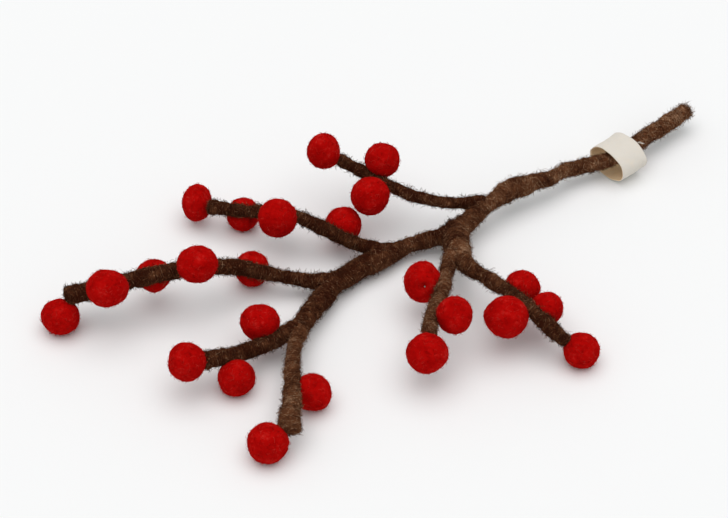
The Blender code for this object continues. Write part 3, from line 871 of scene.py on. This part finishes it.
def fibre_noise(tree, where, stretch, scale):
    """Ridged noise on coordinates stretched and bent by a coarser noise, so that its ridges swirl."""
    place = stretched(tree, where, stretch)
    shift = add(tree, "ShaderNodeVectorMath", operation="MULTIPLY_ADD")
    shift.inputs[1].default_value = (2.2 / scale,) * 3
    tree.links.new(noise(tree, place, "Color", scale=scale * 0.22, detail=1.0), shift.inputs[0])
    tree.links.new(place, shift.inputs[2])
    return noise(tree, shift.outputs["Vector"], noise_type="RIDGED_MULTIFRACTAL", scale=scale, detail=2.0)


def combined(tree, first, second, weight):
    """first + second times weight."""
    node = add(tree, "ShaderNodeMath", operation="MULTIPLY_ADD")
    tree.links.new(second, node.inputs[0])
    node.inputs[1].default_value = weight
    tree.links.new(first, node.inputs[2])
    return node.outputs[0]


def lowered(tree, value, amount):
    """value less amount."""
    node = add(tree, "ShaderNodeMath", operation="SUBTRACT")
    node.inputs[1].default_value = amount
    tree.links.new(value, node.inputs[0])
    return node.outputs[0]


def paint(tree, shader, value, dark, light, middle=None):
    """The base colour, picked by value from dark to light, past middle if there is one."""
    ramp = add(tree, "ShaderNodeValToRGB")
    stops = ramp.color_ramp.elements
    stops[0].color = (*dark, 1.0)
    stops[1].color = (*light, 1.0)
    if middle:
        stops.new(MIDDLE_AT).color = (*middle, 1.0)
    tree.links.new(value, ramp.inputs["Fac"])
    tree.links.new(ramp.outputs["Color"], shader.inputs["Base Color"])


def carve(tree, shader, height, strength, depth):
    """A bump, depth millimetres high."""
    bump = add(tree, "ShaderNodeBump", strength=strength, distance=depth * MM)
    tree.links.new(height, bump.inputs["Height"])
    tree.links.new(bump.outputs["Normal"], shader.inputs["Normal"])


# The usual height of ridged noise, and where the middle colour sits between the dark and the light one
USUAL_RIDGE = 0.28
MIDDLE_AT = 0.42


def fibre_material(name, colours, stretch, sizes, weights, sheen, tint, bump_height):
    """Matted fibres. The tone plus both layers of ridges, less their usual height, picks the colour."""
    material, shader = plain_material(name, colours[1], {
        "Roughness": 1.0,
        "Specular IOR Level": 0.0,
        "Sheen Weight": sheen,
        "Sheen Roughness": 0.45,
        "Sheen Tint": (*tint, 1.0),
    })
    tree = material.node_tree
    tone, grain = carried(tree)
    coarse, fine = (fibre_noise(tree, grain, stretch, 1 / size) for size in sizes)
    value = combined(tree, combined(tree, tone, coarse, weights[0]), fine, weights[1])
    dark, middle, light = colours
    paint(tree, shader, lowered(tree, value, USUAL_RIDGE * sum(weights)), dark, light, middle)
    carve(tree, shader, combined(tree, coarse, fine, 0.7), 0.6, bump_height)
    return material


RED = [(0.25, 0.0010, 0.0008), (0.43, 0.0032, 0.0027), (0.72, 0.065, 0.05)]
BROWN = [(0.033, 0.0080, 0.0037), (0.132, 0.051, 0.0225), (0.60, 0.38, 0.23)]
red_felt = fibre_material("red_felt", RED, (1.0, 1.0, 1.0), (1.6, 0.5), (0.16, 0.34), 0.06,
                          (1.0, 0.10, 0.08), 0.10)
brown_wool = fibre_material("brown_wool", BROWN, (0.5, 0.5, 1.3), (1.8, 0.7), (0.45, 0.80), 0.08,
                            (0.9, 0.5, 0.3), 0.25)
print("finishes", red_felt.name, brown_wool.name)

# %% [markdown]
# ## The loop of tape
#
# The tape is a strip of woven cotton, bent round into an oval and stuck to itself where its ends lap. It lies
# on the table round the stem and leans a little. A torus or a bent plane would have no edge to see at its
# open end, so the strip's own cross-section, a thin rectangle, is carried round the oval. The last part of
# the strip rises by its thickness and so lies on the first.

# %% The loop of tape
TAPE_WIDTH = 17.0
TAPE_THICKNESS = 0.42
LOOP_START = 123.2
# The oval at the near and the far edge of the tape: its middle, half its length and height, and its lean
LOOP_MIDDLE = (-2.4, -1.6)
LOOP_HALF_LONG = (13.55, 14.4)
LOOP_HALF_HIGH = (8.5, 9.05)
LOOP_LEAN = (math.radians(-6.1), math.radians(-9.3))
LAP_START = math.radians(-38)
LAP_END = math.radians(14)
LAP_AIR = 0.06
TAPE_RINGS = 190
TAPE_COLUMNS = 34

# Two pale threads off the far edge
THREADS = np.array([
    [(139.8, -6.7, 18.6), (141.9, -6.7, 17.4), (143.0, -7.4, 17.0), (144.1, -7.8, 16.4),
     (145.5, -8.1, 15.6)],
    [(139.8, -7.1, 18.5), (141.4, -6.6, 18.0), (142.9, -6.6, 17.4), (144.1, -7.5, 16.6),
     (145.6, -7.7, 15.8)],
])
THREAD_RADII = np.array([0.22, 0.17])


def tape_surface(across, turn, lift):
    """The tape's surface, across it from -1 to 1, at turns round the oval, raised by lift.

    An oval's point is its long half times the cosine and its high half times the sine, each along its own
    leaning way, and straight out from it is cosine over long and sine over high. The oval changes evenly from
    the near edge to the far one, and its middle is as high as keeps it on the table. The second layer is
    raised over the last of the strip. Slow waves bend both layers alike, and the table stops them."""
    share = (across + 1) / 2
    middle, half_long, half_high, lean = (near + (far - near) * share for near, far in
                                          (LOOP_MIDDLE, LOOP_HALF_LONG, LOOP_HALF_HIGH, LOOP_LEAN))
    none = np.zeros_like(share)
    long_way = np.stack([none, np.cos(lean), np.sin(lean)], -1)
    high_way = np.stack([none, -np.sin(lean), np.cos(lean)], -1)
    long, high = (half_long * np.cos(turn))[..., None], (half_high * np.sin(turn))[..., None]
    out = unit(long_way * long / half_long[..., None] ** 2 + high_way * high / half_high[..., None] ** 2)
    height = np.hypot(half_long * np.sin(lean), half_high * np.cos(lean)) + TAPE_THICKNESS / 2
    point = np.stack([LOOP_START + TAPE_WIDTH * share, middle, height], -1)
    point = point + long_way * long + high_way * high
    second = (TAPE_THICKNESS + LAP_AIR) * soft_step(turn, LAP_START + 5.9, LAP_START + 2 * np.pi + 0.1)
    edge = 0.05 * soft_step(np.abs(across), 0.90, 0.97)
    bend = 0.16 * waves(point, 14, 61) + 0.05 * waves(point, 5, 62)
    point = point + out * (bend + second + lift * (1 + edge / TAPE_THICKNESS))[..., None]
    point[..., 0] += 0.10 * waves(point, 9, 63)
    lowest = 0.02 + TAPE_THICKNESS / 2 - lift
    point[..., 2] = np.maximum(point[..., 2], lowest)
    return point


def tape_shapes():
    """The strip, as rings that go once round its cross-section, and two pale threads off its far edge."""
    turn = np.linspace(LAP_START, 2 * np.pi + LAP_END, TAPE_RINGS)[:, None]
    side = np.linspace(1, -1, TAPE_COLUMNS)
    across = np.concatenate([side, side[::-1]])[None, :]
    lift = np.repeat([TAPE_THICKNESS / 2, -TAPE_THICKNESS / 2], TAPE_COLUMNS)[None, :]
    across, turn, lift = np.broadcast_arrays(across, turn, lift)
    rings = tape_surface(across, turn, lift)
    poles = rings[[0, -1]].mean(axis=1)
    # Tone 0 is the inside face, whose colour is painted brighter than the outside as painted light.
    outside = np.where(lift > 0, 1.0, 0.0)
    tone = np.concatenate([[0.5], outside.ravel(), [0.5]])
    middle = tape_surface(np.zeros(TAPE_RINGS), turn[:, 0], np.zeros(TAPE_RINGS))
    length = np.concatenate([[0.0], np.cumsum(np.linalg.norm(np.diff(middle, axis=0), axis=1))])
    print("the strip's length in mm", length[-1].round(1))
    cloth = np.stack(np.broadcast_arrays(across * TAPE_WIDTH / 2, length[:, None], lift), -1).reshape(-1, 3)
    grain = np.concatenate([[(0, 0, 0)], cloth, [(0, length[-1], 0)]])
    strip = skin(rings, poles, tone, grain, folds=3, area=(0.0, 0.0, 1.0, 0.9))
    facing = np.broadcast_to(np.array([0.0, 0.0, 1.0]), THREADS.shape)
    threads = strands(THREADS, facing, THREAD_RADII, np.ones(2), (0.0, 0.92, 0.1, 1.0))
    return [strip, threads]


near_edge = tape_surface(np.array([-1.0]), np.array([1.57]), np.array([0.0]))
print("the tape's near edge in mm", near_edge.round(1))

# %% [markdown]
# ## The finishes of tape and wire
#
# Woven cotton is matt. Its threads cross two to a millimetre, which sine waves along and across the strip
# draw as small hills, and noise stretched along each thread makes some thicker. The inside is a yellower
# beige, and it is painted brighter than the outside: painted light for the light that falls inside the loop.
# The wire is drawn steel, so its brightness and gloss vary in fine streaks.


# %% The finishes of tape and wire
def ripple(tree, coordinate, apart):
    """A sine wave that comes round every apart millimetres."""
    scaled = add(tree, "ShaderNodeMath", operation="MULTIPLY")
    scaled.inputs[1].default_value = 2 * math.pi / apart
    tree.links.new(coordinate, scaled.inputs[0])
    wave = add(tree, "ShaderNodeMath", operation="SINE")
    tree.links.new(scaled.outputs[0], wave.inputs[0])
    return wave.outputs[0]


WEAVE_APART = 0.9


def tape_material(inside, outside):
    """Woven cotton, from the colour inside the loop at tone 0, which is painted brighter as painted light, to
    the colour outside it at tone 1.
    """
    values = {"Roughness": 0.9, "Specular IOR Level": 0.1, "Sheen Weight": 0.05}
    material, shader = plain_material("cotton_tape", outside, values)
    tree = material.node_tree
    tone, grain = carried(tree)
    split = add(tree, "ShaderNodeSeparateXYZ")
    tree.links.new(grain, split.inputs[0])
    crossing = add(tree, "ShaderNodeMath", operation="MULTIPLY")
    for index in range(2):
        tree.links.new(ripple(tree, split.outputs[index], WEAVE_APART), crossing.inputs[index])
    weave = crossing.outputs[0]
    thick = noise(tree, stretched(tree, grain, (0.25, 1.0, 1.0)), scale=2.4, detail=2.0)
    cloud = noise(tree, grain, scale=0.22, detail=2.0)
    value = combined(tree, combined(tree, tone, weave, 0.06), thick, 0.35)
    value = combined(tree, value, cloud, 0.35)
    paint(tree, shader, lowered(tree, value, 0.35), inside, outside)
    carve(tree, shader, combined(tree, weave, thick, 1.0), 0.5, 0.08)
    return material


def steel_material():
    """Drawn steel, whose colour, gloss and height vary together in fine streaks."""
    values = {"Roughness": 0.34, "Metallic": 1.0}
    material, shader = plain_material("drawn_steel", (0.56, 0.55, 0.53), values)
    tree = material.node_tree
    where = add(tree, "ShaderNodeTexCoord").outputs["Object"]
    streaks = noise(tree, where, scale=1400.0, detail=3.0)
    paint(tree, shader, streaks, (0.38, 0.37, 0.35), (0.74, 0.73, 0.71))
    tree.links.new(combined(tree, streaks, streaks, -0.4), shader.inputs["Roughness"])
    carve(tree, shader, streaks, 0.3, 0.02)
    return material


# The inside colour is the cloth's yellower beige, painted brighter than the outside as painted light inside the
# loop.
cotton_tape = tape_material((0.95, 0.70, 0.43), (0.72, 0.67, 0.60))
drawn_steel = steel_material()
print("finishes", cotton_tape.name, drawn_steel.name)

# %% [markdown]
# ## Dressing the branch
#
# Each packed length of wool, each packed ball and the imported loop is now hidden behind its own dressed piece,
# which rides on the same body and names the finish that it takes. The wires stay and only take the steel.

# %% Dressing the branch
for name in routes:
    node = "stem_wool" if name == "stem" else f"{name}_twig_wool"
    piece = make_piece(f"wound_{node}", wool_shapes(name), brown_wool)
    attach(piece, "root")
    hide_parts(node)

for name in berries:
    piece = make_piece(f"felt_{name}", felt_shapes(name), red_felt)
    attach(piece, "root")
    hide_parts(name)

tape = make_piece("tape_label_loop", tape_shapes(), cotton_tape)
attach(tape, "root")
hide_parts("label_loop")

for name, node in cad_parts.items():
    if name.endswith("_wire"):
        node.data.materials[0] = drawn_steel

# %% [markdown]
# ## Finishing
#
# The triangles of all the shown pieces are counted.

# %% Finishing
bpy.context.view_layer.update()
triangles = sum(len(p.vertices) - 2 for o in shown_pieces() for p in o.data.polygons)
print("triangles", triangles)
